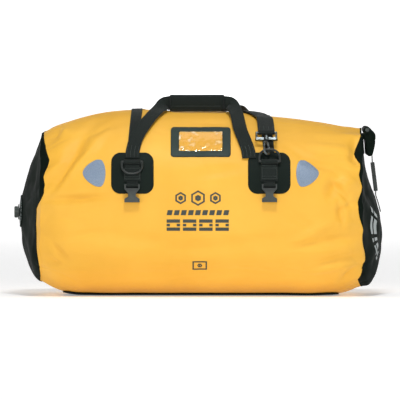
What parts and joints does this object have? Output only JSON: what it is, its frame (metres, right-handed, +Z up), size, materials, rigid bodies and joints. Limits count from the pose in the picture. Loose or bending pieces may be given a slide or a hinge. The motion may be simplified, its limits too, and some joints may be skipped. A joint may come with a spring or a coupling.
{
  "type": "duffel bag",
  "caption": "Waterproof tarpaulin duffel with domed end panels, carry handles joined by a padded grip, hooked shoulder strap, air valve and a rolled end closure",
  "frame": {"origin": "middle of the base patch, on the floor", "axes": "+X runs along the bag towards the rolled closure, -Y is the face with the window, +Z is up"},
  "size_m": [0.665, 0.3628, 0.362],
  "materials": {
    "tarpaulin_yellow": "semi-gloss coated fabric",
    "tarpaulin_black": "matt coated fabric",
    "webbing_black": "ribbed woven webbing",
    "grip_fabric": "padded matt fabric",
    "moulded_plastic": "fine moulded texture",
    "hook_metal": "plated, dulled by handling",
    "reflective_film": "soft reflective sheen",
    "clear_film": "clear flexible film",
    "dark_ink": "screen printed",
    "light_ink": "screen printed"
  },
  "bodies": {
    "bag": {"body_tube": "tarpaulin_yellow", "end_panel_left": "tarpaulin_black", "end_panel_right": "tarpaulin_black", "base_patch": "tarpaulin_black", "mouth_binding": "tarpaulin_black", "patch_front_left": "tarpaulin_black", "ring_tab_front_left": "webbing_black", "buckle_tab_front_left": "webbing_black", "reflector_front_left": "reflective_film", "patch_front_right": "tarpaulin_black", "ring_tab_front_right": "webbing_black", "buckle_tab_front_right": "webbing_black", "reflector_front_right": "reflective_film", "patch_rear_left": "tarpaulin_black", "ring_tab_rear_left": "webbing_black", "buckle_tab_rear_left": "webbing_black", "reflector_rear_left": "reflective_film", "patch_rear_right": "tarpaulin_black", "ring_tab_rear_right": "webbing_black", "buckle_tab_rear_right": "webbing_black", "reflector_rear_right": "reflective_film", "over_strap_left": "webbing_black", "over_strap_right": "webbing_black", "window_frame": "tarpaulin_black", "window_film": "clear_film", "front_print": "dark_ink", "capacity_badge": "dark_ink", "end_print": "light_ink", "valve_patch": "tarpaulin_black", "valve_base": "moulded_plastic", "valve_nut": "moulded_plastic", "shoulder_strap": "webbing_black", "strap_slider": "moulded_plastic", "eye_front": "hook_metal", "eye_rear": "hook_metal", "closure_strap_upper": "webbing_black", "closure_strap_lower": "webbing_black", "closure_socket": "moulded_plastic"},
    "front_handle": {"front_handle_strap": "webbing_black", "grip_wrap": "grip_fabric"},
    "rear_handle": {"rear_handle_strap": "webbing_black"},
    "d_ring_front_left": {"ring_front_left": "moulded_plastic"},
    "side_buckle_front_left": {"buckle_front_left": "moulded_plastic"},
    "d_ring_front_right": {"ring_front_right": "moulded_plastic"},
    "side_buckle_front_right": {"buckle_front_right": "moulded_plastic"},
    "snap_hook_front": {"hook_front": "hook_metal"},
    "snap_gate_front": {"gate_front": "hook_metal"},
    "d_ring_rear_left": {"ring_rear_left": "moulded_plastic"},
    "side_buckle_rear_left": {"buckle_rear_left": "moulded_plastic"},
    "d_ring_rear_right": {"ring_rear_right": "moulded_plastic"},
    "side_buckle_rear_right": {"buckle_rear_right": "moulded_plastic"},
    "snap_hook_rear": {"hook_rear": "hook_metal"},
    "snap_gate_rear": {"gate_rear": "hook_metal"},
    "air_valve_cap": {"valve_cap": "moulded_plastic"},
    "rolled_end": {"closure_roll": "tarpaulin_black", "closure_batten": "moulded_plastic"},
    "end_plug": {"closure_plug": "moulded_plastic"}
  },
  "joints": [
    {"name": "front_handle_hinge", "type": "hinge", "parent": "bag", "child": "front_handle", "pos_m": [-0.12227, -0.15689, 0.24954], "axis": [1, 0.0059, 0.0008], "range_deg": [0, 110]},
    {"name": "rear_handle_hinge", "type": "hinge", "parent": "bag", "child": "rear_handle", "pos_m": [0.12222, 0.15311, 0.24979], "axis": [-0.9998, 0.0216, -0.0011], "range_deg": [0, 110]},
    {"name": "d_ring_front_left_swing", "type": "hinge", "parent": "bag", "child": "d_ring_front_left", "pos_m": [-0.12263, -0.16483, 0.24312], "axis": [-1, 0, 0], "range_deg": [0, 150]},
    {"name": "buckle_front_left_swing", "type": "hinge", "parent": "bag", "child": "side_buckle_front_left", "pos_m": [-0.12257, -0.17529, 0.20106], "axis": [-1, 0, 0], "range_deg": [0, 75]},
    {"name": "d_ring_front_right_swing", "type": "hinge", "parent": "bag", "child": "d_ring_front_right", "pos_m": [0.12247, -0.16168, 0.24366], "axis": [-1, 0, 0], "range_deg": [-3, 3]},
    {"name": "buckle_front_right_swing", "type": "hinge", "parent": "bag", "child": "side_buckle_front_right", "pos_m": [0.12228, -0.17484, 0.20138], "axis": [-1, 0, 0], "range_deg": [0, 75]},
    {"name": "d_ring_rear_left_swing", "type": "hinge", "parent": "bag", "child": "d_ring_rear_left", "pos_m": [-0.12263, 0.16483, 0.24312], "axis": [1, 0, 0], "range_deg": [-3, 3]},
    {"name": "buckle_rear_left_swing", "type": "hinge", "parent": "bag", "child": "side_buckle_rear_left", "pos_m": [-0.12257, 0.17529, 0.20106], "axis": [1, 0, 0], "range_deg": [0, 75]},
    {"name": "d_ring_rear_right_swing", "type": "hinge", "parent": "bag", "child": "d_ring_rear_right", "pos_m": [0.12247, 0.16168, 0.24366], "axis": [1, 0, 0], "range_deg": [0, 150]},
    {"name": "buckle_rear_right_swing", "type": "hinge", "parent": "bag", "child": "side_buckle_rear_right", "pos_m": [0.12228, 0.17484, 0.20138], "axis": [1, 0, 0], "range_deg": [0, 75]},
    {"name": "hook_front_swivel", "type": "hinge", "parent": "bag", "child": "snap_hook_front", "pos_m": [0.117, -0.14369, 0.28315], "axis": [0, 0.5592, 0.829], "range_deg": [-6, 6]},
    {"name": "gate_front_hinge", "type": "hinge", "parent": "snap_hook_front", "child": "snap_gate_front", "pos_m": [0.11298, -0.15683, 0.27392], "axis": [0.8191, -0.4755, 0.3207], "range_deg": [0, 25], "stiffness_Nm_per_rad": 0.02},
    {"name": "hook_rear_swivel", "type": "hinge", "parent": "bag", "child": "snap_hook_rear", "pos_m": [-0.117, 0.14684, 0.28261], "axis": [0, -0.5592, 0.829], "range_deg": [-6, 6]},
    {"name": "gate_rear_hinge", "type": "hinge", "parent": "snap_hook_rear", "child": "snap_gate_rear", "pos_m": [-0.11298, 0.15998, 0.27338], "axis": [-0.8191, 0.4755, 0.3207], "range_deg": [0, 25], "stiffness_Nm_per_rad": 0.02},
    {"name": "valve_cap_turn", "type": "hinge", "parent": "bag", "child": "air_valve_cap", "pos_m": [-0.333, 0, 0.15], "axis": [-1, 0, 0], "range_deg": [0, 90]},
    {"name": "rolled_end_hinge", "type": "hinge", "parent": "bag", "child": "rolled_end", "pos_m": [0.299, 0, 0.299], "axis": [0, -1, 0], "range_deg": [0, 100]},
    {"name": "end_plug_slide", "type": "slide", "parent": "bag", "child": "end_plug", "axis": [-0.1219, 0, 0.9925], "range_m": [0, 0.022], "deforming": ["closure_strap_upper"]}
  ]
}
